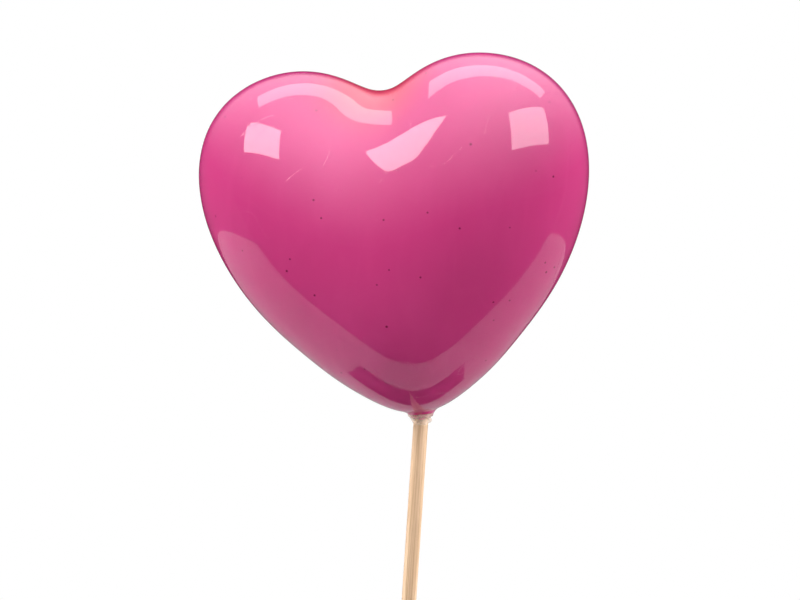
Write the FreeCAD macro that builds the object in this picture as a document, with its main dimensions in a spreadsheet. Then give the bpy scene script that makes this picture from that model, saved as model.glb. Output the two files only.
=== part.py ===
"""Glass heart on a bamboo stick: a blown heart, lacquered inside and glued on its stick.

Frame: +Z runs up the stick. The origin is on the stick's axis, where the full round of the
stick begins above its point. The heart faces -Y and leans to -X. Lengths are in millimetres.
"""
import FreeCAD, Part
import math
import os

import Sketcher

SIZES = [
    # the heart's form: ovals blended into one skin, placed from the heart's centre
    ("flank_out", 9.8, "each flank oval's centre, out from the middle"),
    ("flank_drop", 8.4, "each flank oval's centre, below the heart's centre"),
    ("flank_long", 36.3, "flank oval's half-length, along its tilt"),
    ("flank_wide", 24.6, "flank oval's half-width, across its tilt"),
    ("flank_deep", 20.5, "flank oval's half-depth, front to back"),
    ("flank_tilt", 49.8, "degrees from level to the flank oval's length"),
    ("keel_drop", 12.6, "keel oval's centre, below the heart's centre"),
    ("keel_wide", 16.8, "keel oval's half-width"),
    ("keel_tall", 31.4, "keel oval's half-height"),
    ("keel_deep", 17.7, "keel oval's half-depth"),
    ("lobe_out", 17.4, "each lobe oval's centre, out from the middle"),
    ("lobe_lift", 6.8, "each lobe oval's centre, above the heart's centre"),
    ("lobe_round", 18.4, "lobe oval's radius seen from the front"),
    ("lobe_deep", 12.0, "lobe oval's half-depth"),
    ("blend_reach", 2.5, "distance over which neighbouring ovals melt together"),
    # the blown shell, its neck and the lacquer inside
    ("glass_wall", 1.0, "glass thickness of the heart"),
    ("coat_wall", 0.15, "thickness of the lacquer on the inside"),
    ("neck_wall", 0.25, "glass thickness at the neck's mouth"),
    ("neck_flare", 0.6, "widening of the neck's outside, from its mouth to the hollow"),
    ("neck_clearance", 0.05, "room between the leaning stick and the neck's lacquer"),
    ("neck_length", 1.1, "neck below the heart's tip"),
    ("rim_round", 0.1, "fire-polished edges of the neck's mouth"),
    ("coat_reach", 0.85, "how far the lacquer runs down the neck from the tip"),
    # the stick
    ("stick_radius", 1.5, "full round of the stick"),
    ("stick_length", 300.0, "whole stick, end to end"),
    ("point_length", 12.0, "sharpened lower end"),
    ("point_flat", 0.35, "radius left at the very point"),
    ("stick_inside", 40.0, "stick above the heart's tip"),
    ("seat_end_radius", 1.25, "inner end of the seated stretch, which tapers to it"),
    ("lean_angle", 11.2, "degrees that the heart leans from the stick"),
    # the hot-melt glue
    ("collar_drop", 2.3, "lower edge of the glue, below the heart's tip"),
    ("collar_foot", 0.2, "glue round the stick at the collar's lower edge"),
    ("collar_lap", 0.35, "glue at the collar's top, outwards past the neck's mouth"),
    ("skirt_rise", 3.0, "glue up the stick inside the heart, above the tip"),
    ("skirt_spread", 1.0, "glue inside the heart, outwards past the bore"),
    ("skirt_top", 0.2, "glue round the stick at the top of the skirt"),
    ("bead_radius", 0.72, "round bead of glue beside the neck"),
    ("bead_drop", 1.45, "bead's centre, below the heart's tip"),
    ("bead_out", 1.85, "bead's centre, out from the stick's axis"),
    ("bead_bearing", 17.7, "degrees from +X to the bead, round the stick"),
]

# sizes and places that follow from the sheet's own
TIP_HEIGHT = "(sizes.stick_length - sizes.point_length - sizes.stick_inside)"
FREE_TOP = "(%s - sizes.collar_drop)" % TIP_HEIGHT
WALL_AND_COAT = "(sizes.glass_wall + sizes.coat_wall)"
LEAN_REACH = "(max(sizes.neck_length; %s) * tan(sizes.lean_angle))" % WALL_AND_COAT
LEANING_RADIUS = "(sizes.stick_radius / cos(sizes.lean_angle) + %s)" % LEAN_REACH
COAT_BORE = "(%s + sizes.neck_clearance)" % LEANING_RADIUS
NECK_BORE = "(%s + sizes.coat_wall)" % COAT_BORE
NECK_RADIUS = "(%s + sizes.neck_wall)" % NECK_BORE
GLUE_RADIUS = "(%s + sizes.collar_lap)" % NECK_RADIUS
THROUGH_WALL = "(2 * %s)" % WALL_AND_COAT

RING_COUNT = 36
RING_POINTS = 96
SLOPE_STEP = 0.01


def fill_sheet(doc):
    """The spreadsheet that holds every driving size, one named cell each."""
    sheet = doc.addObject("Spreadsheet::Sheet", "sizes")
    for row, (alias, value, meaning) in enumerate(SIZES, start=1):
        sheet.set("A%d" % row, alias)
        sheet.set("B%d" % row, str(value))
        sheet.set("C%d" % row, meaning)
        sheet.setAlias("B%d" % row, alias)
    doc.recompute()
    return sheet


class HeartForm:
    """The heart's skin as a distance from its centre, one for each direction.

    Five ovals share the centre: two crossed flanks, a keel to the tip and a lobe each side of
    the notch. The skin lies where a ray from the centre leaves the outermost of them, with the
    change from one to the next rounded over the blend reach.
    """

    def __init__(self, sheet):
        """Read the ovals from the sheet, as centre, half-sizes and tilt."""
        self.blend = sheet.blend_reach
        tilt = math.radians(sheet.flank_tilt)
        flank = (sheet.flank_long, sheet.flank_deep, sheet.flank_wide)
        lobe = (sheet.lobe_round, sheet.lobe_deep, sheet.lobe_round)
        keel = (sheet.keel_wide, sheet.keel_deep, sheet.keel_tall)
        self.ovals = [((0.0, -sheet.keel_drop), keel, 0.0)]
        for side in (1, -1):
            self.ovals.append(((side * sheet.flank_out, -sheet.flank_drop), flank, side * tilt))
            self.ovals.append(((side * sheet.lobe_out, sheet.lobe_lift), lobe, 0.0))
        self.tip_drop = self.reach(FreeCAD.Vector(0, 0, -1))

    @staticmethod
    def oval_reach(direction, centre, half, tilt):
        """Where a ray from the heart's centre leaves one oval: the larger quadratic root.

        A ray that misses the oval stops where it passes nearest.
        """
        cosine, sine = math.cos(tilt), math.sin(tilt)
        ray = (
            (direction.x * cosine + direction.z * sine) / half[0],
            direction.y / half[1],
            (direction.z * cosine - direction.x * sine) / half[2],
        )
        middle = (
            (centre[0] * cosine + centre[1] * sine) / half[0],
            (centre[1] * cosine - centre[0] * sine) / half[2],
        )
        square = sum(part * part for part in ray)
        along = ray[0] * middle[0] + ray[2] * middle[1]
        past = middle[0] ** 2 + middle[1] ** 2 - 1.0
        return (along + math.sqrt(max(along * along - square * past, 0.0))) / square

    def reach(self, direction):
        """Distance from the centre to the skin: the ovals' reaches, blended to the largest."""
        reaches = [self.oval_reach(direction, *oval) for oval in self.ovals]
        largest = max(reaches)
        total = sum(math.exp((value - largest) / self.blend) for value in reaches)
        return largest + self.blend * math.log(total)

    def outside(self, point):
        """How far a point lies beyond the skin, along its own ray."""
        distance = point.Length
        return distance - self.reach(point / distance)

    def skin_point(self, polar, turn, depth):
        """The skin's point at two angles, moved inwards by depth and counted from the tip.

        polar is the angle up from the tip's direction and turn the angle about the heart's axis.
        """
        direction = FreeCAD.Vector(
            math.sin(polar) * math.cos(turn), math.sin(polar) * math.sin(turn), -math.cos(polar)
        )
        point = direction * self.reach(direction)
        normal = FreeCAD.Vector(*[
            self.outside(point + axis * SLOPE_STEP) - self.outside(point - axis * SLOPE_STEP)
            for axis in (FreeCAD.Vector(1, 0, 0), FreeCAD.Vector(0, 1, 0), FreeCAD.Vector(0, 0, 1))
        ])
        normal.normalize()
        return point - normal * depth + FreeCAD.Vector(0, 0, self.tip_drop)

    def ring(self, polar, depth):
        """A closed smooth curve round the skin at one polar angle."""
        turns = [2 * math.pi * step / RING_POINTS for step in range(RING_POINTS)]
        points = [self.skin_point(polar, turn, depth) for turn in turns]
        curve = Part.BSplineCurve()
        curve.interpolate(Points=points, PeriodicFlag=True, Parameters=turns + [2 * math.pi])
        return Part.Wire([curve.toShape()])

    def skin(self, depth):
        """The closed solid inside the skin, moved inwards by depth, lofted from tip to notch."""
        sections = [Part.Vertex(self.skin_point(0.0, 0.0, depth))]
        for step in range(1, RING_COUNT):
            sections.append(self.ring(math.pi * step / RING_COUNT, depth))
        sections.append(Part.Vertex(self.skin_point(math.pi, 0.0, depth)))
        return Part.makeLoft(sections, True, False)


def add_skin(doc, name, form, depth):
    """One skin as an object of the document, in the heart's own frame with its tip at zero."""
    feature = doc.addObject("Part::Feature", name)
    feature.Shape = form.skin(depth)
    return feature


def lean_on_stick(feature):
    """Set a piece drawn about the heart's axis, tip at zero, on the stick and leaning to -X."""
    turn = FreeCAD.Rotation(FreeCAD.Vector(0, 1, 0), -1)
    feature.Placement = FreeCAD.Placement(FreeCAD.Vector(0, 0, 0), turn)
    feature.setExpression("Placement.Base.z", TIP_HEIGHT)
    feature.setExpression("Placement.Rotation.Angle", "-sizes.lean_angle")


def add_bar(doc, name, radius, low, high):
    """A round bar about Z between two heights, all three given as expressions."""
    bar = doc.addObject("Part::Cylinder", name)
    bar.setExpression("Radius", radius)
    bar.setExpression("Height", "%s - %s" % (high, low))
    bar.setExpression("Placement.Base.z", low)
    return bar


def add_cone(doc, name, low_radius, high_radius, low, high):
    """A cone about Z between two heights, all four given as expressions."""
    cone = doc.addObject("Part::Cone", name)
    cone.setExpression("Radius1", low_radius)
    cone.setExpression("Radius2", high_radius)
    cone.setExpression("Height", "%s - %s" % (high, low))
    cone.setExpression("Placement.Base.z", low)
    return cone


def add_neck(doc, name):
    """The neck's outside, up through the glass of the heart."""
    root_radius = NECK_RADIUS + " + sizes.neck_flare"
    return add_cone(doc, name, NECK_RADIUS, root_radius, "-sizes.neck_length", THROUGH_WALL)


def add_fuse(doc, name, shapes):
    """Several shapes made one."""
    fuse = doc.addObject("Part::MultiFuse", name)
    fuse.Shapes = shapes
    return fuse


def add_cut(doc, name, base, tool):
    """One shape less another."""
    result = doc.addObject("Part::Cut", name)
    result.Base = base
    result.Tool = tool
    return result


def glass_heart(doc, sheet, skins):
    """The blown shell: skin and neck, less the hollow and the bore, with a round-edged mouth."""
    bore = add_bar(doc, "neck_bore", NECK_BORE, "-2 * sizes.neck_length", THROUGH_WALL)
    outside = add_fuse(doc, "glass_outside", [skins["outer"], add_neck(doc, "neck")])
    inside = add_fuse(doc, "glass_inside", [skins["inner"], bore])
    shell = add_cut(doc, "glass_shell", outside, inside)
    doc.recompute()
    rim = min(sheet.rim_round, 0.45 * sheet.neck_wall)
    edges = [
        (number, rim, rim)
        for number, edge in enumerate(shell.Shape.Edges, start=1)
        if abs(edge.BoundBox.ZMax + sheet.neck_length) < 1e-6
    ]
    heart = doc.addObject("Part::Fillet", "glass_heart")
    heart.Base = shell
    heart.Edges = edges
    lean_on_stick(heart)
    return heart


def colour_coat(doc, skins):
    """The lacquer: a thin skin inside the glass, ending in a sleeve a little way down the neck."""
    sleeve = add_bar(doc, "coat_sleeve", NECK_BORE, "-sizes.coat_reach", THROUGH_WALL)
    opening = add_bar(doc, "coat_opening", COAT_BORE, "-2 * sizes.coat_reach", THROUGH_WALL)
    outside = add_fuse(doc, "coat_outside", [skins["inner_copy"], sleeve])
    inside = add_fuse(doc, "coat_inside", [skins["coat"], opening])
    coat = add_cut(doc, "colour_coat", outside, inside)
    lean_on_stick(coat)
    return coat


def stick_profile(sketch):
    """Half the stick's outline: point, full round, seated taper and square-cut inner end."""
    corners = [
        ("0", "-sizes.point_length"),
        ("sizes.point_flat", "-sizes.point_length"),
        ("sizes.stick_radius", "0"),
        ("sizes.stick_radius", FREE_TOP),
        ("sizes.seat_end_radius", "sizes.stick_length - sizes.point_length"),
        ("0", "sizes.stick_length - sizes.point_length"),
    ]
    drafts = [(0, -10), (1, -10), (2, 0), (2, 200), (1, 250), (0, 250)]
    points = [FreeCAD.Vector(across, along, 0) for across, along in drafts]
    count = len(points)
    for index, point in enumerate(points):
        sketch.addGeometry(Part.LineSegment(point, points[(index + 1) % count]), False)
    for index in range(count):
        sketch.addConstraint(Sketcher.Constraint("Coincident", index, 2, (index + 1) % count, 1))
    for index, (across, along) in enumerate(corners):
        place_corner(sketch, index, "across", "DistanceX", across)
        place_corner(sketch, index, "along", "DistanceY", along)


def place_corner(sketch, index, word, kind, expression):
    """Tie one coordinate of a line's first end to the sketch's origin by an expression."""
    origin, corner = (-1, 1), (index, 1)
    if expression == "0":
        axis = -2 if kind == "DistanceX" else -1
        sketch.addConstraint(Sketcher.Constraint("PointOnObject", index, 1, axis))
        return
    behind = expression.startswith("-")
    ends = corner + origin if behind else origin + corner
    number = sketch.addConstraint(Sketcher.Constraint(kind, *ends, 1.0))
    name = "%s_%d" % (word, index)
    sketch.renameConstraint(number, name)
    sketch.setExpression("Constraints." + name, expression.lstrip("-"))


def bamboo_stick(doc):
    """The stick, revolved about its own axis."""
    body = doc.addObject("PartDesign::Body", "bamboo_stick")
    sketch = body.newObject("Sketcher::SketchObject", "stick_outline")
    plane = next(item for item in body.Origin.OriginFeatures if item.Role == "XZ_Plane")
    sketch.AttachmentSupport = [(plane, "")]
    sketch.MapMode = "FlatFace"
    stick_profile(sketch)
    turned = body.newObject("PartDesign::Revolution", "stick_turned")
    turned.Profile = sketch
    turned.ReferenceAxis = (sketch, ["V_Axis"])
    turned.Angle = 360.0
    body.Tip = turned
    return body


def glue_outside(doc, skins):
    """The glue that shows: a collar from the stick up round the neck, and the bead beside it."""
    foot = "sizes.stick_radius + sizes.collar_foot"
    top = "(%s + %s * tan(sizes.lean_angle) + sizes.glass_wall)" % (TIP_HEIGHT, GLUE_RADIUS)
    collar = add_cone(doc, "glue_collar", foot, GLUE_RADIUS, FREE_TOP, TIP_HEIGHT)
    brim = add_bar(doc, "glue_brim", GLUE_RADIUS, TIP_HEIGHT, top)
    bead = doc.addObject("Part::Sphere", "glue_bead")
    bead.setExpression("Radius", "sizes.bead_radius")
    bead.setExpression("Placement.Base.x", "sizes.bead_out * cos(sizes.bead_bearing)")
    bead.setExpression("Placement.Base.y", "sizes.bead_out * sin(sizes.bead_bearing)")
    bead.setExpression("Placement.Base.z", "%s - sizes.bead_drop" % TIP_HEIGHT)
    filled_heart = add_fuse(doc, "filled_heart", [skins["outer"], add_neck(doc, "neck_copy")])
    lean_on_stick(filled_heart)
    lumps = add_fuse(doc, "glue_lumps", [collar, brim, bead])
    return add_cut(doc, "glue_outside", lumps, filled_heart)


def glue_inside(doc, skins):
    """The glue in the neck, in the lacquer's sleeve and in a skirt on the heart's floor."""
    wide = add_bar(doc, "plug_wide", NECK_BORE, "-sizes.neck_length", "-sizes.coat_reach")
    narrow = add_bar(doc, "plug_narrow", COAT_BORE, "-sizes.coat_reach", THROUGH_WALL)
    skirt = add_cone(
        doc,
        "skirt_cone",
        NECK_BORE + " + sizes.skirt_spread",
        "%s + sizes.skirt_top" % LEANING_RADIUS,
        "sizes.glass_wall",
        "sizes.skirt_rise",
    )
    floor_skirt = doc.addObject("Part::MultiCommon", "glue_skirt")
    floor_skirt.Shapes = [skirt, skins["coat"]]
    inside = add_fuse(doc, "glue_inside", [wide, narrow, floor_skirt])
    lean_on_stick(inside)
    return inside


def glue_joint(doc, skins, stick):
    """The glue as one piece, less what the stick takes up."""
    whole = add_fuse(doc, "glue_whole", [glue_outside(doc, skins), glue_inside(doc, skins)])
    return add_cut(doc, "glue_joint", whole, stick)


def check_document(doc, parts):
    """Stop if any object failed to build or a sub-part isn't one valid solid."""
    for item in doc.Objects:
        if "Invalid" in item.State or "Error" in item.State:
            raise RuntimeError("%s failed to build: %s" % (item.Name, item.State))
    for piece in parts:
        shape = piece.Shape
        if shape.isNull() or not shape.isValid() or len(shape.Solids) != 1:
            raise RuntimeError("%s isn't one valid solid" % piece.Label)


def main():
    """Build the document, check it and write one STEP file for each sub-part."""
    doc = FreeCAD.newDocument("heart_pick")
    sheet = fill_sheet(doc)
    form = HeartForm(sheet)
    skins = {
        "outer": add_skin(doc, "outer_skin", form, 0.0),
        "inner": add_skin(doc, "inner_skin", form, sheet.glass_wall),
        "inner_copy": add_skin(doc, "coat_back", form, sheet.glass_wall),
        "coat": add_skin(doc, "coat_skin", form, sheet.glass_wall + sheet.coat_wall),
    }
    heart = glass_heart(doc, sheet, skins)
    coat = colour_coat(doc, skins)
    stick = bamboo_stick(doc)
    glue = glue_joint(doc, skins, stick)
    doc.recompute()
    parts = [heart, coat, stick, glue]
    check_document(doc, parts)
    os.makedirs("parts", exist_ok=True)
    for piece in parts:
        piece.Shape.exportStep("parts/%s.step" % piece.Label)
        box = piece.Shape.BoundBox
        print("%s: %.2f mm3, z %.2f to %.2f" % (piece.Label, piece.Shape.Volume, box.ZMin, box.ZMax))


main()
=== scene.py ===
"""A glass heart on a bamboo stick: blown clear glass, pink lacquer inside, hot-melt glue, stick.

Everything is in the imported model's frame, +Z up the stick with the heart facing -Y. Sizes are in
millimetres in the classes below and become metres where a mesh is made.
"""
import logging
import math
from dataclasses import dataclass
from enum import Enum

import bpy
import numpy as np
from mathutils import Matrix, Vector


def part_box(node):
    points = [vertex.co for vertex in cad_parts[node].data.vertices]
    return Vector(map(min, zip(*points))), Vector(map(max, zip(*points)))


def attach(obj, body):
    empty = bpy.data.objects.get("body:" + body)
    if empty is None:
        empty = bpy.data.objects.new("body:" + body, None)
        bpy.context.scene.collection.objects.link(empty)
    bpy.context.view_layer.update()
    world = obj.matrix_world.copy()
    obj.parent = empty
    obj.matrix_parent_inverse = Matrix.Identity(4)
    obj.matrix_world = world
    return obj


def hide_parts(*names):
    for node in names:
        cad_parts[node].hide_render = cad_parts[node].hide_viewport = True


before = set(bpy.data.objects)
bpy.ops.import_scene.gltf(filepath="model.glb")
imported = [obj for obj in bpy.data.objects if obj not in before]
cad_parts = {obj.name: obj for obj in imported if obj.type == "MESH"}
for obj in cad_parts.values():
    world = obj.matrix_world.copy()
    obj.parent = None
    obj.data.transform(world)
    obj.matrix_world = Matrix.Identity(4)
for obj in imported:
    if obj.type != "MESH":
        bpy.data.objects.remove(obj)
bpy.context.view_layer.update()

MM = 0.001
STICK_INSIDE = 40.0
FRONT_BEARING = -78.0
log = logging.getLogger("heart_pick")

Triple = tuple[float, float, float]
Socket = bpy.types.NodeSocket


# ------------------------------------------------------------------------------ mesh helpers


class Ends(Enum):
    """How a grid of rings closes: at a point at each end, or its last ring on its first."""

    POINTS = "points"
    JOINED = "joined"


def ring_mesh(name: str, grid: np.ndarray, ends: Ends) -> bpy.types.Object:
    """Make a closed piece from a grid of rings.

    Each ring's points join the next ring's by quads. With Ends.POINTS the first and last rings
    are single points and close in fans. If the solid's signed volume, the sum over its corner
    triangles of a dot b cross c, comes out negative, every face is turned over.

    Args:
        name: the piece's name.
        grid: points in metres, as rings, points round each ring and three coordinates.
        ends: how the grid closes.

    Returns:
        The new mesh object at the origin, smooth shaded.
    """
    rings, around = grid.shape[:2]
    number = np.arange(rings * around).reshape(rings, around)
    if ends is Ends.POINTS:
        number[0] = 0
        number[-1] = number[-1, 0]
    below = np.roll(number, -1, axis=0) if ends is Ends.JOINED else number[1:]
    here = number if ends is Ends.JOINED else number[:-1]
    corners = [here, np.roll(here, -1, axis=1), np.roll(below, -1, axis=1), below]
    quads = np.stack(corners, axis=-1).reshape(-1, 4)
    flat = grid.reshape(-1, 3)
    a, b, c, d = (flat[quads[:, k]] for k in range(4))
    volume = np.einsum("ij,ij", a, np.cross(b, c)) + np.einsum("ij,ij", a, np.cross(c, d))
    if volume < 0.0:
        quads = quads[:, ::-1]
    used, quads = np.unique(quads, return_inverse=True)
    quads = quads.reshape(-1, 4)
    keep = quads != np.roll(quads, 1, axis=1)
    sizes = keep.sum(axis=1)
    mesh = bpy.data.meshes.new(name)
    mesh.vertices.add(len(used))
    mesh.vertices.foreach_set("co", flat[used].astype(np.float32).ravel())
    mesh.loops.add(int(sizes.sum()))
    mesh.loops.foreach_set("vertex_index", quads[keep].astype(np.int32))
    mesh.polygons.add(len(sizes))
    starts = np.concatenate([[0], np.cumsum(sizes)[:-1]])
    mesh.polygons.foreach_set("loop_start", starts.astype(np.int32))
    mesh.polygons.foreach_set("loop_total", sizes.astype(np.int32))
    mesh.polygons.foreach_set("use_smooth", np.ones(len(sizes), bool))
    mesh.update(calc_edges=True)
    mesh.validate()
    piece = bpy.data.objects.new(name, mesh)
    bpy.context.scene.collection.objects.link(piece)
    return piece


def bridge(start: np.ndarray, leaving: np.ndarray, end: np.ndarray, arriving: np.ndarray,
           count: int) -> np.ndarray:
    """Join two rings by a cubic Hermite curve at each point round them.

    Args:
        start: the first ring.
        leaving: the curve's direction and pull as it leaves each of its points.
        end: the last ring.
        arriving: the curve's direction and pull as it reaches each of its points.
        count: how many rings to make between the two.

    Returns:
        The rings between, without the two given.
    """
    t = np.linspace(0.0, 1.0, count + 2)[1:-1, None, None]
    return (
        (2 * t**3 - 3 * t**2 + 1) * start
        + (t**3 - 2 * t**2 + t) * leaving
        + (3 * t**2 - 2 * t**3) * end
        + (t**3 - t**2) * arriving
    )


def circle(turn: np.ndarray, radius: np.ndarray | float, height: np.ndarray | float) -> np.ndarray:
    """Give points round the Z axis: radius times the turn's cosine and sine, at a height.

    Args:
        turn: angles round the axis.
        radius: one radius, or one for each angle.
        height: one height, or one for each angle.

    Returns:
        One point for each angle.
    """
    flat = np.zeros_like(turn)
    return np.stack([radius * np.cos(turn), radius * np.sin(turn), flat + height], axis=-1)


def turns(count: int) -> np.ndarray:
    """Give evenly spaced angles round a full turn, without repeating the first."""
    return np.linspace(0.0, 2.0 * math.pi, count, endpoint=False)


# ------------------------------------------------------------------------------ heart's form


@dataclass(frozen=True)
class HeartForm:
    """The heart's skin, in millimetres, as a distance from its centre for each direction.

    Two crossed flank ovals, a keel oval to the tip and a lobe oval each side of the notch share
    the centre. The skin lies where a ray leaves the outermost of them, blended over a reach.
    """

    flank_out: float = 9.8
    flank_drop: float = 8.4
    flank_half: Triple = (36.3, 20.5, 24.6)
    flank_tilt: float = 49.8
    keel_drop: float = 12.6
    keel_half: Triple = (16.8, 17.7, 31.4)
    lobe_out: float = 17.4
    lobe_lift: float = 6.8
    lobe_half: Triple = (18.4, 12.0, 18.4)
    blend: float = 2.5
    slope_step: float = 0.01

    def ovals(self) -> list[tuple[float, float, Triple, float]]:
        """List the five ovals: centre across, centre up, half-sizes and tilt in degrees."""
        made = [(0.0, -self.keel_drop, self.keel_half, 0.0)]
        for side in (1.0, -1.0):
            tilt = side * self.flank_tilt
            made.append((side * self.flank_out, -self.flank_drop, self.flank_half, tilt))
            made.append((side * self.lobe_out, self.lobe_lift, self.lobe_half, 0.0))
        return made

    def reach(self, ray: np.ndarray) -> np.ndarray:
        """Measure from the centre to the skin along each unit ray.

        For each oval the ray is turned and scaled so that the oval is a unit ball, and the
        ray's far crossing is the larger root of a quadratic. The five roots blend as the
        logarithm of the sum of their exponentials.

        Args:
            ray: unit directions, with their three coordinates on the last axis.

        Returns:
            One distance for each direction.
        """
        roots = []
        for across, up, half, tilt in self.ovals():
            cosine, sine = math.cos(math.radians(tilt)), math.sin(math.radians(tilt))
            along_x = (ray[..., 0] * cosine + ray[..., 2] * sine) / half[0]
            along_z = (ray[..., 2] * cosine - ray[..., 0] * sine) / half[2]
            middle_x = (across * cosine + up * sine) / half[0]
            middle_z = (up * cosine - across * sine) / half[2]
            square = along_x**2 + (ray[..., 1] / half[1]) ** 2 + along_z**2
            dot = along_x * middle_x + along_z * middle_z
            past = middle_x**2 + middle_z**2 - 1.0
            roots.append((dot + np.sqrt(np.maximum(dot**2 - square * past, 0.0))) / square)
        stack = np.stack(roots)
        largest = stack.max(axis=0)
        return largest + self.blend * np.log(np.exp((stack - largest) / self.blend).sum(axis=0))

    def outside(self, point: np.ndarray) -> np.ndarray:
        """Measure how far points lie beyond the skin along their own rays."""
        distance = np.linalg.norm(point, axis=-1)
        return distance - self.reach(point / distance[..., None])

    def tip_drop(self) -> float:
        """Give the distance from the centre down to the tip."""
        return float(self.reach(np.array([0.0, 0.0, -1.0])))

    def skin(self, polar: np.ndarray, turn: np.ndarray, depth: float) -> np.ndarray:
        """Give the skin's points, counted from the tip.

        Each point is its ray times the reach, moved inwards along the surface's normal, which
        is the slope of the distance beyond the skin.

        Args:
            polar: angles up from the tip's direction, one for each ring.
            turn: angles about the heart's axis, one for each point of a ring.
            depth: how far inside the outer skin the points lie.

        Returns:
            Points as rings, points round each ring and three coordinates.
        """
        p, t = np.meshgrid(polar, turn, indexing="ij")
        ray = np.stack([np.sin(p) * np.cos(t), np.sin(p) * np.sin(t), -np.cos(p)], axis=-1)
        point = ray * self.reach(ray)[..., None]
        steps = np.eye(3) * self.slope_step
        slope = [self.outside(point + step) - self.outside(point - step) for step in steps]
        normal = np.stack(slope, axis=-1)
        normal /= np.linalg.norm(normal, axis=-1, keepdims=True)
        return point - normal * depth + np.array([0.0, 0.0, self.tip_drop()])


@dataclass(frozen=True)
class Seat:
    """Where the heart sits: its tip's height on the stick's axis, in metres, and its lean."""

    tip_height: float
    lean: float = 11.2

    def place(self, points: np.ndarray) -> np.ndarray:
        """Turn millimetre points about the tip, so that the top leans to -X, and lift them.

        Args:
            points: points in the heart's own frame, counted from its tip.

        Returns:
            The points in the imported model's frame, in metres.
        """
        cosine, sine = math.cos(math.radians(self.lean)), math.sin(math.radians(self.lean))
        turned = np.array([[cosine, 0.0, -sine], [0.0, 1.0, 0.0], [sine, 0.0, cosine]])
        return points @ turned.T * MM + np.array([0.0, 0.0, self.tip_height])


# ------------------------------------------------------------------------------ shader helpers


@dataclass
class NodeSheet:
    """A node tree with short ways to add a node, set it and link it."""

    tree: bpy.types.NodeTree

    def add(self, kind: str, settings: dict | None = None, **inputs: object) -> bpy.types.Node:
        """Add a node.

        Args:
            kind: the node's type, without the ShaderNode that begins its name.
            settings: the node's own properties, by name.
            inputs: values or sockets for its inputs, by name with _ for a space.

        Returns:
            The node.
        """
        node = self.tree.nodes.new("ShaderNode" + kind)
        for name, value in (settings or {}).items():
            setattr(node, name, value)
        for name, value in inputs.items():
            self.feed(node.inputs[name.replace("_", " ")], value)
        return node

    def feed(self, socket: Socket, value: object) -> None:
        """Set an input to a plain value, or link it when the value is a socket."""
        if isinstance(value, bpy.types.NodeSocket):
            self.tree.links.new(value, socket)
        else:
            socket.default_value = value

    def maths(self, operation: str, *values: object, clamp: bool = False) -> Socket:
        """Add a Math node on the given values or sockets and return its result."""
        node = self.add("Math", {"operation": operation, "use_clamp": clamp})
        for socket, value in zip(node.inputs, values):
            self.feed(socket, value)
        return node.outputs["Value"]

    def mix_colour(self, share: object, first: object, second: object) -> Socket:
        """Blend two colours by a share from 0 to 1 and return the colour."""
        node = self.add("Mix", {"data_type": "RGBA"})
        by_name = {socket.identifier: socket for socket in node.inputs}
        self.feed(by_name["Factor_Float"], share)
        self.feed(by_name["A_Color"], first)
        self.feed(by_name["B_Color"], second)
        return next(s for s in node.outputs if s.identifier == "Result_Color")

    def ramp(self, value: object, low: object, high: object) -> Socket:
        """Turn a value into a share: 0 at low, 1 at high, smooth between and held outside."""
        node = self.add("MapRange", {"interpolation_type": "SMOOTHSTEP"}, Value=value)
        self.feed(node.inputs["From Min"], low)
        self.feed(node.inputs["From Max"], high)
        return node.outputs["Result"]


def rgb(red: float, green: float, blue: float) -> tuple[float, float, float, float]:
    """Give a linear colour with full alpha."""
    return (red, green, blue, 1.0)


@dataclass(frozen=True)
class Effect:
    """A shader node group shared by several finishes, built once under its own name."""

    name: str = ""
    numbers: tuple[tuple[str, float], ...] = ()

    def group(self) -> bpy.types.NodeTree:
        """Give the group, building it the first time: its inputs, its one Mask and its nodes."""
        found = bpy.data.node_groups.get(self.name)
        if found is not None:
            return found
        tree = bpy.data.node_groups.new(self.name, "ShaderNodeTree")
        kind = "NodeSocketFloat"
        for label, value in self.numbers:
            made = tree.interface.new_socket(name=label, in_out="INPUT", socket_type=kind)
            made.default_value = value
        tree.interface.new_socket(name="Mask", in_out="OUTPUT", socket_type=kind)
        inlet, outlet = tree.nodes.new("NodeGroupInput"), tree.nodes.new("NodeGroupOutput")
        sheet = NodeSheet(tree)
        sheet.feed(outlet.inputs["Mask"], self.mask(sheet, inlet))
        return tree

    def mask(self, sheet: NodeSheet, inlet: bpy.types.Node) -> Socket:
        """Build the group's nodes and return its mask; each effect has its own."""
        raise NotImplementedError

    def stretched(self, sheet: NodeSheet, inlet: bpy.types.Node) -> Socket:
        """Give Object coordinates drawn out along Z by the group's Stretch."""
        place = sheet.add("TexCoord").outputs["Object"]
        squeeze = sheet.maths("DIVIDE", 1.0, inlet.outputs["Stretch"])
        scale = sheet.add("CombineXYZ", X=1.0, Y=1.0, Z=squeeze).outputs["Vector"]
        node = sheet.add("VectorMath", {"operation": "MULTIPLY"})
        sheet.feed(node.inputs[0], place)
        sheet.feed(node.inputs[1], scale)
        return node.outputs["Vector"]

    def use(self, sheet: NodeSheet, **values: float) -> Socket:
        """Place the group in a material.

        Args:
            sheet: the material's nodes.
            values: the group's inputs, by name.

        Returns:
            The mask's socket.
        """
        node = sheet.tree.nodes.new("ShaderNodeGroup")
        node.node_tree = self.group()
        for name, value in values.items():
            node.inputs[name].default_value = value
        return node.outputs["Mask"]


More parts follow.
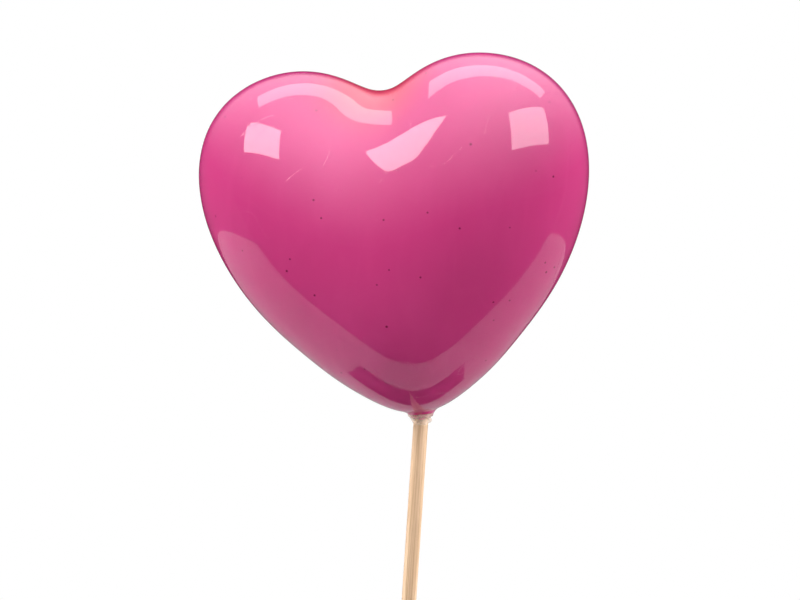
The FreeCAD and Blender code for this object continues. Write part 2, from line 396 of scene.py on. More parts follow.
@dataclass(frozen=True)
class Clouding(Effect):
    """Soft patches: layered noise on Object coordinates, drawn out along Z by Stretch."""

    name: str = "clouding"
    numbers: tuple[tuple[str, float], ...] = (
        ("Scale", 60.0), ("Stretch", 1.0), ("Detail", 3.0), ("Low", 0.35), ("High", 0.65),
    )

    def mask(self, sheet: NodeSheet, inlet: bpy.types.Node) -> Socket:
        """Take the noise's value from Low to High as the mask."""
        out = inlet.outputs
        noise = sheet.add("TexNoise", Vector=self.stretched(sheet, inlet), Scale=out["Scale"],
                          Detail=out["Detail"])
        return sheet.ramp(noise.outputs["Fac"], out["Low"], out["High"])


@dataclass(frozen=True)
class Speckling(Effect):
    """Scattered round spots: Voronoi cells, of which a Share hold a spot of the given Size."""

    name: str = "speckling"
    numbers: tuple[tuple[str, float], ...] = (("Scale", 400.0), ("Size", 0.1), ("Share", 0.2))

    def mask(self, sheet: NodeSheet, inlet: bpy.types.Node) -> Socket:
        """Keep the middles of the cells whose random red value is under Share."""
        out = inlet.outputs
        place = sheet.add("TexCoord").outputs["Object"]
        cells = sheet.add("TexVoronoi", Vector=place, Scale=out["Scale"])
        chance = sheet.add("SeparateColor", Color=cells.outputs["Color"])
        chosen = sheet.maths("LESS_THAN", chance.outputs["Red"], out["Share"])
        size = sheet.maths("MULTIPLY_ADD", chance.outputs["Green"], out["Size"], out["Size"])
        spot = sheet.ramp(cells.outputs["Distance"], size, sheet.maths("MULTIPLY", size, 0.5))
        return sheet.maths("MULTIPLY", chosen, spot)


@dataclass(frozen=True)
class Streaking(Effect):
    """Fine lines along Z: noise drawn out by Stretch, cut to its ridges by Width."""

    name: str = "streaking"
    numbers: tuple[tuple[str, float], ...] = (
        ("Scale", 900.0), ("Stretch", 40.0), ("Width", 0.08),
    )

    def mask(self, sheet: NodeSheet, inlet: bpy.types.Node) -> Socket:
        """Mark where the noise crosses its middle value, within Width."""
        out = inlet.outputs
        noise = sheet.add("TexNoise", Vector=self.stretched(sheet, inlet), Scale=out["Scale"],
                          Detail=2.0)
        off = sheet.maths("ABSOLUTE", sheet.maths("SUBTRACT", noise.outputs["Fac"], 0.5))
        return sheet.ramp(off, out["Width"], 0.0)


CLOUDING = Clouding()
SPECKLING = Speckling()
STREAKING = Streaking()


@dataclass(frozen=True)
class Finish:
    """A material: a Principled surface whose colour and relief come from its own nodes.

    A clear one lets a share of the light through to what it covers: shadow_pass.
    """

    name: str = ""
    shadow_pass: float = 0.0
    casts_shadow: bool = True

    def material(self) -> bpy.types.Material:
        """Make the material, or give it if it has been made.

        Its name is never one of the record's slots, whose plain materials came with the frame.
        """
        found = bpy.data.materials.get(self.name)
        if found is not None:
            return found
        made = bpy.data.materials.new(self.name)
        made.use_nodes = True
        made.node_tree.nodes.clear()
        sheet = NodeSheet(made.node_tree)
        surface = sheet.add("BsdfPrincipled")
        self.dress(sheet, surface)
        shader = surface.outputs["BSDF"]
        if self.shadow_pass > 0.0:
            light = sheet.add("LightPath")
            clear = sheet.add("BsdfTransparent", Color=rgb(*[self.shadow_pass] * 3))
            choice = sheet.add("MixShader", Fac=light.outputs["Is Shadow Ray"])
            sheet.feed(choice.inputs[1], shader)
            sheet.feed(choice.inputs[2], clear.outputs["BSDF"])
            shader = choice.outputs["Shader"]
        sheet.add("OutputMaterial", Surface=shader)
        return made

    def dress(self, sheet: NodeSheet, surface: bpy.types.Node) -> None:
        """Set the surface's sockets; each finish has its own."""
        raise NotImplementedError

    def relief(self, sheet: NodeSheet, surface: bpy.types.Node, height: Socket,
               depth: float) -> None:
        """Feed the surface's normal from a height of 0 to 1 that is depth metres high."""
        bump = sheet.add("Bump", Strength=1.0, Distance=depth, Height=height)
        sheet.feed(surface.inputs["Normal"], bump.outputs["Normal"])


@dataclass(frozen=True)
class BlownGlass(Finish):
    """Clear blown glass: faintly wavy, with a few pits and hairline scratches."""

    name: str = "blown_clear_glass"
    shadow_pass: float = 0.42
    roughness: float = 0.04
    waviness: float = 0.00002
    pits: float = 0.8

    def dress(self, sheet: NodeSheet, surface: bpy.types.Node) -> None:
        """Set plain glass and feed its relief from waves, pits and scratches."""
        sheet.feed(surface.inputs["Base Color"], rgb(1.0, 1.0, 1.0))
        sheet.feed(surface.inputs["Transmission Weight"], 1.0)
        sheet.feed(surface.inputs["IOR"], 1.5)
        sheet.feed(surface.inputs["Roughness"], self.roughness)
        waves = CLOUDING.use(sheet, Scale=38.0, Stretch=1.0, Detail=0.0, Low=0.2, High=0.8)
        pits = SPECKLING.use(sheet, Scale=300.0, Size=0.05, Share=0.6)
        lines = STREAKING.use(sheet, Scale=45.0, Stretch=3.0, Width=0.0012)
        dents = sheet.maths("MULTIPLY", sheet.maths("ADD", pits, lines), self.pits)
        self.relief(sheet, surface, sheet.maths("SUBTRACT", waves, dents), self.waviness)


@dataclass(frozen=True)
class PinkLacquer(Finish):
    """Pink lacquer seen through the glass: clouded, with faint runs and a few dark specks.

    Round the heart's notch a warm salmon glow is painted in, standing for the light bounced between
    the lobes.
    """

    name: str = "lacquer_with_runs"
    pink: Triple = (0.735, 0.074, 0.297)
    thin: Triple = (0.81, 0.10, 0.355)
    speck: Triple = (0.24, 0.016, 0.07)
    # the painted glow of light bounced between the lobes round the notch
    bounce_glow: Triple = (0.80, 0.09, 0.19)
    roughness: float = 0.6
    notch: Triple = (0.0, 0.0, 0.0)
    glow_reach: float = 0.017

    def notch_glow_share(self, sheet: NodeSheet) -> Socket:
        """Mark where the painted glow of bounced light lies round the heart's notch: 1 at the
        notch, 0 at the glow's reach from it.
        """
        place = sheet.add("TexCoord").outputs["Object"]
        away = sheet.add("VectorMath", {"operation": "DISTANCE"}, Vector=place)
        away.inputs[1].default_value = self.notch
        return sheet.ramp(away.outputs["Value"], self.glow_reach, 0.3 * self.glow_reach)

    def dress(self, sheet: NodeSheet, surface: bpy.types.Node) -> None:
        """Blend the two pinks by clouds and runs, paint a glow of bounced light at the notch and
        lay specks on.
        """
        clouds = CLOUDING.use(sheet, Scale=42.0, Stretch=1.6, Detail=4.0, Low=0.38, High=0.7)
        runs = STREAKING.use(sheet, Scale=120.0, Stretch=5.0, Width=0.05)
        share = sheet.maths("MULTIPLY_ADD", runs, 0.12, sheet.maths("MULTIPLY", clouds, 0.6),
                            clamp=True)
        body = sheet.mix_colour(share, rgb(*self.pink), rgb(*self.thin))
        # paint the glow of light bounced between the lobes round the notch
        pinks = sheet.mix_colour(self.notch_glow_share(sheet), body, rgb(*self.bounce_glow))
        specks = SPECKLING.use(sheet, Scale=330.0, Size=0.055, Share=0.6)
        sheet.feed(surface.inputs["Base Color"], sheet.mix_colour(specks, pinks, rgb(*self.speck)))
        sheet.feed(surface.inputs["Specular IOR Level"], 0.0)
        sheet.feed(surface.inputs["Roughness"], self.roughness)
        self.relief(sheet, surface, clouds, 0.00002)


@dataclass(frozen=True)
class HotMeltGlue(Finish):
    """Set hot-melt glue: a thin amber haze over what it covers, with cloudy patches and bubbles.

    Its haze is its alpha: thin where it is clear, thick in a cloud or a bubble.
    """

    name: str = "set_hot_melt"
    casts_shadow: bool = False
    clear: Triple = (0.78, 0.62, 0.48)
    cloudy: Triple = (0.86, 0.74, 0.62)
    bubble: Triple = (0.62, 0.5, 0.42)
    haze: float = 0.34
    thicker: float = 0.3
    roughness: float = 0.14

    def dress(self, sheet: NodeSheet, surface: bpy.types.Node) -> None:
        """Feed colour, haze and relief from clouds and bubbles."""
        clouds = CLOUDING.use(sheet, Scale=700.0, Stretch=1.0, Detail=3.0, Low=0.4, High=0.75)
        bubbles = SPECKLING.use(sheet, Scale=1500.0, Size=0.2, Share=0.2)
        body = sheet.mix_colour(clouds, rgb(*self.clear), rgb(*self.cloudy))
        sheet.feed(surface.inputs["Base Color"], sheet.mix_colour(bubbles, body, rgb(*self.bubble)))
        patches = sheet.maths("MAXIMUM", clouds, bubbles)
        sheet.feed(surface.inputs["Alpha"],
                   sheet.maths("MULTIPLY_ADD", patches, self.thicker, self.haze))
        sheet.feed(surface.inputs["IOR"], 1.48)
        sheet.feed(surface.inputs["Roughness"], self.roughness)
        self.relief(sheet, surface, sheet.maths("SUBTRACT", clouds, bubbles), 0.00003)


@dataclass(frozen=True)
class Bamboo(Finish):
    """Planed bamboo: pale tan with fine darker fibres along it and open pores between them."""

    name: str = "planed_bamboo"
    pale: Triple = (0.77, 0.55, 0.37)
    tan: Triple = (0.66, 0.45, 0.29)
    fibre: Triple = (0.45, 0.27, 0.14)

    def dress(self, sheet: NodeSheet, surface: bpy.types.Node) -> None:
        """Lay broad bands, then coarse and fine fibres, over the pale wood."""
        bands = CLOUDING.use(sheet, Scale=900.0, Stretch=60.0, Detail=3.0, Low=0.35, High=0.65)
        coarse = STREAKING.use(sheet, Scale=1300.0, Stretch=90.0, Width=0.03)
        fine = CLOUDING.use(sheet, Scale=4200.0, Stretch=90.0, Detail=2.0, Low=0.42, High=0.68)
        wood = sheet.mix_colour(bands, rgb(*self.pale), rgb(*self.tan))
        lined = sheet.mix_colour(sheet.maths("MULTIPLY", coarse, 0.6), wood, rgb(*self.fibre))
        grained = sheet.mix_colour(sheet.maths("MULTIPLY", fine, 0.45), lined, rgb(*self.fibre))
        sheet.feed(surface.inputs["Base Color"], grained)
        rough = sheet.maths("MULTIPLY_ADD", fine, 0.2, 0.5)
        sheet.feed(surface.inputs["Roughness"], rough)
        sheet.feed(surface.inputs["Specular IOR Level"], 0.35)
        dents = sheet.maths("MULTIPLY", sheet.maths("ADD", coarse, fine), -0.5)
        self.relief(sheet, surface, dents, 0.00006)


@dataclass(frozen=True)
class PaleFloor(Finish):
    """A matt pale board, very faintly clouded."""

    name: str = "pale_board"

    def dress(self, sheet: NodeSheet, surface: bpy.types.Node) -> None:
        """Blend two whites by soft clouds."""
        clouds = CLOUDING.use(sheet, Scale=9.0, Stretch=1.0, Detail=2.0, Low=0.3, High=0.7)
        whites = sheet.mix_colour(clouds, rgb(0.46, 0.46, 0.46), rgb(0.44, 0.44, 0.44))
        sheet.feed(surface.inputs["Base Color"], whites)
        sheet.feed(surface.inputs["Roughness"], 0.9)
        sheet.feed(surface.inputs["Specular IOR Level"], 0.1)


@dataclass(frozen=True)
class BlackCard(Finish):
    """Matt black card with a faint tooth."""

    name: str = "black_card"

    def dress(self, sheet: NodeSheet, surface: bpy.types.Node) -> None:
        """Blend two blacks by soft clouds."""
        clouds = CLOUDING.use(sheet, Scale=20.0, Stretch=1.0, Detail=2.0, Low=0.3, High=0.7)
        blacks = sheet.mix_colour(clouds, rgb(0.01, 0.01, 0.01), rgb(0.014, 0.014, 0.014))
        sheet.feed(surface.inputs["Base Color"], blacks)
        sheet.feed(surface.inputs["Roughness"], 1.0)
        sheet.feed(surface.inputs["Specular IOR Level"], 0.0)


# ------------------------------------------------------------------------------ sub-assemblies


def finish_piece(piece: bpy.types.Object, finish: Finish, node: str) -> None:
    """Dress a piece, ride it on the root body and let it stand for its CAD node.

    Args:
        piece: the mesh object.
        finish: its finish.
        node: the CAD node that it replaces.
    """
    piece.data.materials.append(finish.material())
    piece.visible_shadow = finish.casts_shadow
    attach(piece, "root")
    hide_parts(node)
    log.info("%s: %d faces for %s", piece.name, len(piece.data.polygons), node)


@dataclass
class BlownHeart:
    """The glass shell with its open neck, and the lacquer that lines it."""

    form: HeartForm
    seat: Seat
    wall: float = 1.0
    coat_wall: float = 0.15
    coat_bite: float = 0.05
    neck_length: float = 1.1
    neck_wall: float = 0.25
    bore: float = 1.957
    neck_polar: float = 0.085
    throat: float = 1.12
    leaving_pull: float = 2.2
    arriving_pull: float = 1.3
    arriving_draw: float = 0.25
    bore_foot: float = 0.3
    bore_top: float = 0.75
    sleeve_top: float = 0.7
    sleeve_reach: float = 0.8
    sleeve_dip: float = 0.5
    around: int = 224
    outer_rings: int = 190
    inner_rings: int = 150

    def polars(self, rings: int, first: float) -> np.ndarray:
        """Give polar angles from the top down to near the tip, for so many rings."""
        return np.linspace(math.pi, first, rings)

    def throat_polar(self) -> float:
        """Give the polar angle of the hollow's last ring, a throat's share wider than the bore."""
        return self.bore * self.throat / (self.form.tip_drop() - self.wall)

    def neck_turned(self, turn: np.ndarray, start: np.ndarray, before: np.ndarray) -> np.ndarray:
        """Carry a skin's last ring smoothly into the neck's flared outside and round its rim.

        The skin leaves along its own last step and arrives down the neck's side. The rim is a
        half circle, as wide as the neck's wall.

        Args:
            turn: angles round the neck.
            start: the skin's last ring.
            before: the ring above it.

        Returns:
            Rings from below the skin to the bore's edge.
        """
        half = self.neck_wall / 2.0
        straight = circle(turn, self.bore + self.neck_wall, half - self.neck_length)
        step = start - before
        pull = step / np.linalg.norm(step, axis=-1, keepdims=True) * self.leaving_pull
        down = circle(turn, -self.arriving_draw, -self.arriving_pull)
        side = bridge(start, pull, straight, down, 14)
        swing = np.linspace(0.0, math.pi, 9)[:, None]
        radius = self.bore + half + half * np.cos(swing)
        height = half - self.neck_length - half * np.sin(swing)
        return np.concatenate([side, circle(turn[None, :] + 0.0 * swing, radius, height)])

    def glass(self) -> bpy.types.Object:
        """Build the glass: outer skin, neck, rim, bore and inner skin as one closed surface."""
        turn = turns(self.around)
        outer = self.form.skin(self.polars(self.outer_rings, self.neck_polar), turn, 0.0)
        inner_polars = self.polars(self.inner_rings, self.throat_polar())
        inner = self.form.skin(inner_polars, turn, self.wall)[::-1]
        neck = self.neck_turned(turn, outer[-1], outer[-2])
        bore_heights = np.linspace(self.bore_foot - self.neck_length, self.bore_top, 6)
        bore = np.stack([circle(turn, self.bore, height) for height in bore_heights])
        grid = np.concatenate([outer, neck, bore, inner])
        piece = ring_mesh("heart_glass", self.seat.place(grid), Ends.POINTS)
        finish_piece(piece, BlownGlass(), "glass_heart")
        return piece

    def lacquer(self) -> bpy.types.Object:
        """Build the lacquer: a closed skin that bites into the glass, and its neck's sleeve.

        The sleeve's edge is uneven: its height is the reach below the tip plus a dip that
        follows the fourth power of the cosine of the turn from the front.
        """
        turn = turns(self.around)
        first = self.throat_polar()
        depth = self.wall - self.coat_bite
        outer = self.form.skin(self.polars(self.outer_rings, first), turn, depth)
        inner_depth = self.wall + self.coat_wall
        inner = self.form.skin(self.polars(self.inner_rings, first), turn, inner_depth)[::-1]
        front = np.cos(turn - math.radians(FRONT_BEARING))
        edge = -self.sleeve_reach - self.sleeve_dip * np.maximum(front, 0.0)**4
        wide = self.bore + self.coat_bite
        narrow = self.bore - self.coat_wall
        drop = np.linspace(0.0, 1.0, 8)[:, None]
        every_turn = turn[None, :] + 0.0 * drop
        top = self.sleeve_top
        outside = circle(every_turn, wide, top + drop * (edge - top))
        inside = circle(every_turn, narrow, edge + drop * (top - edge))
        grid = np.concatenate([outer, outside, inside, inner])
        piece = ring_mesh("lacquer_lining", self.seat.place(grid), Ends.POINTS)
        notch = tuple(float(value) for value in self.seat.place(outer[0, 0]))
        finish_piece(piece, PinkLacquer(notch=notch), "colour_coat")
        return piece


@dataclass
class GlueJoint:
    """The hot-melt glue: a collar and plug in one piece, and the round bead beside them."""

    seat: Seat
    stick_radius: float = 1.5
    neck_radius: float = 2.207
    drop: float = 2.3
    bore: float = 1.78
    thin_bearing: float = 12.0
    bead_radius: float = 0.72
    bead_drop: float = 1.45
    bead_out: float = 1.62
    bead_bearing: float = -3.0
    around: int = 96

    def collar(self) -> bpy.types.Object:
        """Build the collar and plug as a closed ring of glue round the stick.

        The profile runs from the stick out over the collar to the heart, under the neck's
        mouth, up inside the bore, out over the heart's floor and back down the stick. The
        glue is thin at one bearing and fat opposite it, by one less the cosine of the turn
        between, with a slow wave, as glue is when it is smeared on.
        """
        turn = turns(self.around)
        wave = 0.05 * np.cos(2.0 * turn + 0.6) + 0.03 * np.cos(3.0 * turn + 2.1)
        lift = np.array([0.0, 0.0, self.seat.tip_height])
        sag = 0.12 * np.cos(turn - math.radians(FRONT_BEARING))
        smear = 0.5 - 0.5 * np.cos(turn - math.radians(self.thin_bearing))
        fat = 0.2 + 0.8 * smear

        def on_stick(radius: np.ndarray | float, height: np.ndarray | float) -> np.ndarray:
            """Place a ring round the stick's own axis, in metres."""
            return circle(turn, radius, height) * MM + lift

        def on_neck(radius: np.ndarray | float, height: np.ndarray | float) -> np.ndarray:
            """Place a ring round the leaning neck's axis, in metres."""
            return self.seat.place(circle(turn, radius, height))

        wood, glass = self.stick_radius, self.neck_radius
        rows = [
            on_stick(wood - 0.02, -self.drop - sag),
            on_stick(wood + 0.11 * fat, -self.drop - 0.05 - sag),
            on_stick(wood + 0.2 * fat + 0.3 * wave, -self.drop + 0.08 - sag),
            on_stick(wood + 0.4 * fat + 0.5 * wave, -1.9 - 0.8 * sag),
            on_stick(wood + 0.04 + 0.68 * fat + 0.8 * wave, -1.45 - 0.5 * sag),
            on_stick(wood + 0.24 + 0.82 * fat + 0.8 * wave, -1.0 - 0.2 * sag),
            on_neck(glass + 0.08 + 0.5 * fat + 0.6 * wave, -0.62),
            on_neck(glass + 0.08 + 0.56 * fat + 0.5 * wave, -0.35 + 0.1 * smear),
            on_neck(glass + 0.06 + 0.56 * fat + 0.3 * wave, -0.3 + 0.3 * smear),
            on_neck(glass + 0.02 + 0.4 * fat, -0.26 + 0.4 * smear),
            on_neck(2.18, -0.4),
            on_neck(2.16, -0.9),
            on_neck(2.1, -1.07),
            on_neck(self.bore, -1.0),
            on_neck(self.bore, 0.0),
            on_neck(self.bore, 1.1),
            on_neck(self.bore + 0.95, 1.45),
            on_neck(self.bore + 0.6, 1.9),
            on_neck(self.bore + 0.2, 3.4),
            on_stick(wood - 0.02, 4.1),
        ]
        smooth = self.smoothed(np.stack(rows), 3)
        piece = ring_mesh("glue_collar", smooth, Ends.JOINED)
        finish_piece(piece, HotMeltGlue(), "glue_joint")
        return piece

    def smoothed(self, rows: np.ndarray, times: int) -> np.ndarray:
        """Round a closed profile by cutting its corners: each side gives its quarter points.

        Args:
            rows: the profile's rings, the last joining the first.
            times: how many times to cut.

        Returns:
            The rounded rings, twice as many after each cut.
        """
        for _ in range(times):
            ahead = np.roll(rows, -1, axis=0)
            cut = np.stack([0.75 * rows + 0.25 * ahead, 0.25 * rows + 0.75 * ahead], axis=1)
            rows = cut.reshape(-1, *rows.shape[1:])
        return rows

    def bead(self) -> bpy.types.Object:
        """Build the bead: a ball drawn out towards the stick, with a slow dimple.

        Its radius is the bead's own times 0.97 plus 0.06 of the cosine towards the stick and
        a small wave, over polar angles from its top to its foot.
        """
        turn = turns(48)
        polar = np.linspace(0.0, math.pi, 33)
        p, t = np.meshgrid(polar, turn, indexing="ij")
        bearing = math.radians(self.bead_bearing)
        ray = np.stack([np.sin(p) * np.cos(t), np.sin(p) * np.sin(t), np.cos(p)], axis=-1)
        inwards = -(ray[..., 0] * math.cos(bearing) + ray[..., 1] * math.sin(bearing))
        radius = self.bead_radius * (0.97 + 0.06 * inwards + 0.02 * np.cos(3.0 * ray[..., 2] + t))
        centre = np.array([
            self.bead_out * math.cos(bearing), self.bead_out * math.sin(bearing), -self.bead_drop,
        ])
        points = (ray * radius[..., None] + centre) * MM
        points[..., 2] += self.seat.tip_height
        piece = ring_mesh("glue_bead", points, Ends.POINTS)
        finish_piece(piece, HotMeltGlue(), "glue_joint")
        return piece


@dataclass
class BambooStick:
    """The stick: sharpened below, full round, tapering where it is seated in the heart."""

    top: float
    foot: float
    free_top: float
    radius: float = 1.5
    point_flat: float = 0.35
    seat_end_radius: float = 1.25
    flute: float = 0.008
    chamfer: float = 0.12
    around: int = 112

    def profile(self, height: np.ndarray) -> np.ndarray:
        """Give the stick's plain radius at each height: point, full round, seated taper."""
        marks = [self.foot, 0.0, self.free_top, self.top]
        radii = [self.point_flat, self.radius, self.radius, self.seat_end_radius]
        return np.interp(height, marks, radii)

    def fluted(self, height: np.ndarray, turn: np.ndarray) -> np.ndarray:
        """Give rings whose radius dips between fibre bundles.

        The dip is a sum of three cosines of whole multiples of the turn, whose phases drift
        slowly up the stick, so that it never rises above the plain radius.

        Args:
            height: one height for each ring.
            turn: angles round a ring.

        Returns:
            Points as rings, points round each ring and three coordinates.
        """
        h, t = height[:, None], turn[None, :]
        dip = (
            0.40 * (1.0 + np.cos(9.0 * t + 1.6 * np.sin(h / 37.0)))
            + 0.30 * (1.0 + np.cos(23.0 * t + 2.3 * np.sin(h / 21.0 + 1.0)))
            + 0.30 * (1.0 + np.cos(5.0 * t - 1.1 * np.sin(h / 53.0 + 2.0)))
        )
        radius = self.profile(height)[:, None] * (1.0 - self.flute * dip)
        return circle(t + 0.0 * h, radius, h)

    def build(self) -> bpy.types.Object:
        """Build the stick as one closed surface from its point to its square-cut inner end."""
        turn = turns(self.around)
        point = np.linspace(self.foot, 0.0, 30)
        free = np.linspace(0.0, self.free_top, 240)[1:]
        seated = np.linspace(self.free_top, self.top - self.chamfer, 40)[1:]
        rings = self.fluted(np.concatenate([point, free, seated]), turn)
        foot_pole = circle(turn, 0.0, self.foot)[None]
        foot_rim = circle(turn, self.point_flat * 0.8, self.foot)[None]
        top_rim = circle(turn, self.seat_end_radius - 2.0 * self.chamfer, self.top)[None]
        top_pole = circle(turn, 0.0, self.top)[None]
        grid = np.concatenate([foot_pole, foot_rim, rings, top_rim, top_pole]) * MM
        piece = ring_mesh("stick_bamboo", grid, Ends.POINTS)
        finish_piece(piece, Bamboo(), "bamboo_stick")
        return piece


# ------------------------------------------------------------------------------ studio


@dataclass
class StudioCamera:
    """The camera: its bearing on the heart, its roll and where it aims."""

    centre: Vector
    azimuth: float = 16.38
    elevation: float = 8.54
    roll: float = 3.69
    distance: float = 0.7
    aim_down: float = 1.782
    aim_right: float = 0.097
    lens: float = 157.5

    def axes(self) -> Matrix:
        """Give the view's right, up and backward directions as a matrix's columns."""
        turn = Matrix.Rotation(math.radians(self.azimuth), 3, "Z")
        tip = Matrix.Rotation(math.radians(90.0 - self.elevation), 3, "X")
        return turn @ tip @ Matrix.Rotation(math.radians(self.roll), 3, "Z")

    def build(self) -> None:
        """Make the camera and set it as the scene's."""
        data = bpy.data.cameras.new("studio_camera")
        data.lens = self.lens
        data.clip_start, data.clip_end = 0.01, 20.0
        camera = bpy.data.objects.new("studio_camera", data)
        bpy.context.scene.collection.objects.link(camera)
        axes = self.axes()
        camera.location = self.centre + axes.col[2] * self.distance
        down = Matrix.Rotation(math.radians(-self.aim_down), 3, "X")
        right = Matrix.Rotation(math.radians(-self.aim_right), 3, "Y")
        camera.rotation_euler = (axes @ down @ right).to_euler()
        bpy.context.scene.camera = camera


class Sight(Enum):
    """Which of the object's light a lamp gives: what falls on it, or what mirrors in it."""

    LIGHT = "light"
    SHINE = "shine"


@dataclass(frozen=True)
class SoftBox:
    """A rectangular lamp by its bearing from the line of view, and its size as slopes.

    Its light and its shine are radiances: what it sheds, and how bright it mirrors in gloss.
    """

    name: str
    bearing: float
    rise: float
    roll: float
    half_width: float
    half_height: float
    light: float
    shine: float = 0.0
    distance: float = 0.9

    def build(self, centre: Vector, axes: Matrix) -> None:
        """Make the lamp, facing the heart.

        Args:
            centre: what the lamp faces.
            axes: the view's right, up and backward directions as columns.
        """
        side, rise = math.radians(self.bearing), math.radians(self.rise)
        local = Vector((
            math.sin(side) * math.cos(rise), math.sin(rise), math.cos(side) * math.cos(rise),
        ))
        outward = axes @ local
        across = (axes @ Vector((math.cos(side), 0.0, -math.sin(side)))).normalized()
        turned = Matrix((across, outward.cross(across), outward)).transposed()
        place = (turned @ Matrix.Rotation(math.radians(self.roll), 3, "Z")).to_4x4()
        place.translation = centre + outward * self.distance
        size = (2.0 * self.half_width * self.distance, 2.0 * self.half_height * self.distance)
        hang_lamp(self.name, place, size, Sight.LIGHT, self.light)
        hang_lamp(self.name, place, size, Sight.SHINE, self.shine)


def hang_lamp(name: str, place: Matrix, size: tuple[float, float], sight: Sight,
              radiance: float) -> None:
    """Make one rectangular lamp that the camera doesn't see.

    Args:
        name: the lamp's name.
        place: where it hangs; it shines down its own Z axis.
        size: its width and height in metres.
        sight: whether it lights the object or only mirrors in it.
        radiance: its brightness; at 0 no lamp is made.
    """
    if radiance <= 0.0:
        return
    label = name + "_" + sight.value
    data = bpy.data.lights.new(label, "AREA")
    data.shape = "RECTANGLE"
    data.size, data.size_y = size
    data.energy = radiance * 4.0 * size[0] * size[1]
    lamp = bpy.data.objects.new(label, data)
    bpy.context.scene.collection.objects.link(lamp)
    lamp.matrix_world = place
    lamp.visible_camera = False
    lamp.visible_glossy = sight is Sight.SHINE
    lamp.visible_diffuse = sight is Sight.LIGHT
    lamp.visible_transmission = False
    data.cycles.use_multiple_importance_sampling = sight is Sight.SHINE


@dataclass(frozen=True)
class Flag:
    """A black card just over the floor, by its sides as slopes below the heart's middle.

    The slopes are distances across and away from the camera, for each unit of drop.
    """

    name: str
    left: float
    right: float
    near: float
    far: float
    lift: float = 0.002

    def build(self, centre: Vector, across: Vector, floor_height: float) -> None:
        """Lay the card, a thin slab that only mirrored light meets.

        Args:
            centre: the heart's middle.
            across: the level direction to the right of the view.
            floor_height: the floor's height.
        """
        away = Vector((-across.y, across.x, 0.0))
        drop = centre.z - floor_height
        sides = [(self.left, self.near), (self.right, self.near), (self.right, self.far),
                 (self.left, self.far)]
        foot = Vector((centre.x, centre.y, floor_height + self.lift))
        corners = np.array([foot + (across * x + away * y) * drop for x, y in sides])
        middle = np.repeat(corners.mean(axis=0, keepdims=True), 4, axis=0)
        down = np.array([0.0, 0.0, -0.5 * self.lift])
        card = ring_mesh(self.name, np.stack([middle, corners, corners + down, middle + down]),
                         Ends.POINTS)
        card.data.materials.append(BlackCard().material())
        card.visible_camera = False
        card.visible_shadow = False
        card.visible_diffuse = False
        card.visible_transmission = False


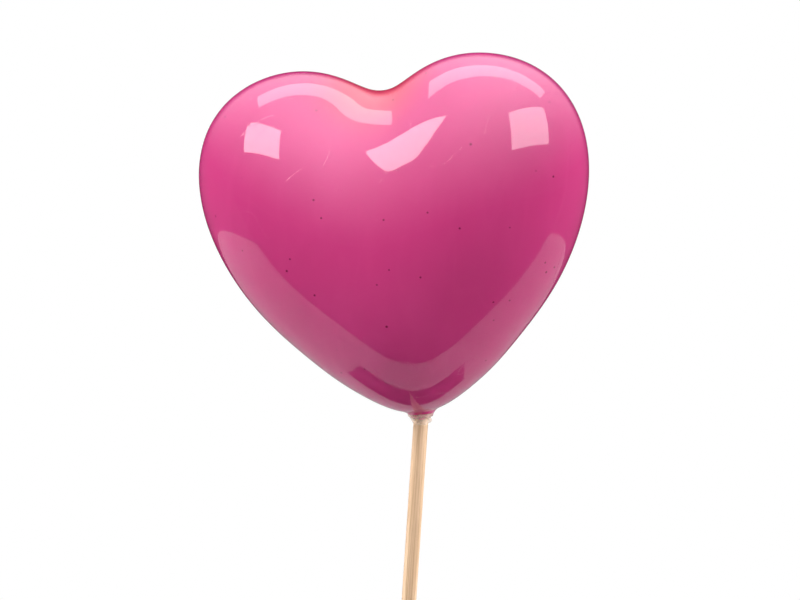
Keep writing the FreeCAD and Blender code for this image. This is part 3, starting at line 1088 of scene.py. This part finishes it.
@dataclass
class Studio:
    """The pale floor, the lamps, the flags and the surroundings."""

    centre: Vector
    camera: StudioCamera
    floor_height: float
    floor_radius: float = 0.75
    dim: float = 0.15
    mirrored: float = 0.1
    wall: float = 2.0
    ceiling: float = 2.2
    behind: tuple[float, float] = (0.95, 0.7)
    boxes: tuple[SoftBox, ...] = (
        SoftBox("left_box", -65.5, 35.6, 13.9, 0.226, 0.173, 14.5, 6.2),
        SoftBox("right_box", 40.4, 30.4, -4.0, 0.35, 0.257, 6.8, 4.8),
        SoftBox("left_fill", -105.0, -5.0, 0.0, 0.6, 0.6, 2.8),
        SoftBox("right_fill", 105.0, -5.0, 0.0, 0.6, 0.6, 2.6),
        SoftBox("front_fill", 0.0, 12.0, 0.0, 0.6, 0.45, 0.12),
    )
    flags: tuple[Flag, ...] = (
        Flag("front_flag", -12.0, 12.0, -30.0, -0.46),
        # a black card under the heart that paints the heart's own shadow on the floor, seen only in
        # the glass's reflection
        Flag("painted_shadow_flag", -0.5, 0.6, -0.03, 0.42),
    )
    strip_height: float = 0.6
    strip_side: float = -0.065
    strip_back: float = 0.21
    strip_turn: float = 9.0
    strip_slopes: tuple[float, float] = (1.67, 0.36)
    strip_light: float = 3.6
    strip_shine: float = 3.0

    def floor(self) -> None:
        """Lay the floor: a thin round board with its top at the stick's foot."""
        turn = turns(96)
        rings = [
            circle(turn, 0.0, 0.0), circle(turn, self.floor_radius - 0.002, 0.0),
            circle(turn, self.floor_radius, -0.002), circle(turn, self.floor_radius, -0.01),
            circle(turn, 0.0, -0.01),
        ]
        grid = np.stack(rings) + np.array([0.0, 0.0, self.floor_height])
        board = ring_mesh("floor_board", grid, Ends.POINTS)
        board.data.materials.append(PaleFloor().material())

    def across(self) -> Vector:
        """Give the level direction to the right of the view."""
        right = self.camera.axes().col[0]
        return Vector((right.x, right.y, 0.0)).normalized()

    def strip(self) -> None:
        """Hang the long lamp overhead, a little behind the heart, level and facing down."""
        right = self.across()
        away = Vector((-right.y, right.x, 0.0))
        middle = right * self.strip_side + away * self.strip_back + Vector((0.0, 0.0, 1.0))
        turn = math.atan2(right.y, right.x) - math.radians(self.strip_turn)
        place = Matrix.Rotation(turn, 4, "Z")
        place.translation = self.centre + middle * self.strip_height
        size = tuple(slope * self.strip_height for slope in self.strip_slopes)
        hang_lamp("overhead_strip", place, size, Sight.LIGHT, self.strip_light)
        hang_lamp("overhead_strip", place, size, Sight.SHINE, self.strip_shine)

    def surroundings(self) -> None:
        """Set the world: white behind the object, dim to the light that falls on it.

        What mirrors in the gloss is a wall that brightens with its height to the ceiling, and
        is dark straight behind the object.
        """
        world = bpy.data.worlds.new("studio_world")
        world.use_nodes = True
        world.node_tree.nodes.clear()
        sheet = NodeSheet(world.node_tree)
        light = sheet.add("LightPath").outputs
        gloss = sheet.maths("MULTIPLY", light["Is Glossy Ray"], light["Is Reflection Ray"])
        shader = sheet.add("Background", Color=rgb(1.0, 1.0, 1.0), Strength=self.dim)
        directions = sheet.add("TexCoord").outputs["Generated"]
        height = sheet.add("SeparateXYZ", Vector=directions)
        above = sheet.maths("MAXIMUM", height.outputs["Z"], 0.0)
        slope = sheet.maths("MULTIPLY_ADD", above, self.ceiling, self.wall)
        open_room = sheet.maths("MULTIPLY_ADD", above, slope, self.mirrored)
        right = self.across()
        away = sheet.add("VectorMath", {"operation": "DOT_PRODUCT"}, Vector=directions)
        away.inputs[1].default_value = (-right.y, right.x, 0.0)
        room = sheet.maths("MULTIPLY", open_room, sheet.ramp(away.outputs["Value"], *self.behind))
        for ray, strength in ((gloss, room), (light["Is Camera Ray"], 1.0)):
            other = sheet.add("Background", Color=rgb(1.0, 1.0, 1.0), Strength=strength)
            choice = sheet.add("MixShader", Fac=ray)
            sheet.feed(choice.inputs[1], shader.outputs[0])
            sheet.feed(choice.inputs[2], other.outputs[0])
            shader = choice
        sheet.add("OutputWorld", Surface=shader.outputs[0])
        bpy.context.scene.world = world

    def build(self) -> None:
        """Build the floor, lamps, flags, surroundings and camera, with plain colours."""
        self.floor()
        self.strip()
        for box in self.boxes:
            box.build(self.centre, self.camera.axes())
        for flag in self.flags:
            flag.build(self.centre, self.across(), self.floor_height)
        self.surroundings()
        self.camera.build()
        bpy.context.scene.view_settings.view_transform = "Standard"


# ------------------------------------------------------------------------------ main


def main() -> None:
    """Build the heart, glue and stick, then the studio."""
    logging.basicConfig(level=logging.INFO, format="%(message)s")
    stick_low, stick_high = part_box("bamboo_stick")
    tip_height = stick_high.z - STICK_INSIDE * MM
    form = HeartForm()
    seat = Seat(tip_height)
    heart = BlownHeart(form, seat)
    heart.glass()
    heart.lacquer()
    glue = GlueJoint(seat)
    glue.collar()
    glue.bead()
    stick = BambooStick(stick_high.z / MM, stick_low.z / MM, tip_height / MM - glue.drop)
    stick.build()
    centre = Vector(seat.place(np.array([0.0, 0.0, form.tip_drop()])))
    Studio(centre, StudioCamera(centre), stick_low.z).build()


if __name__ == "__main__":
    main()
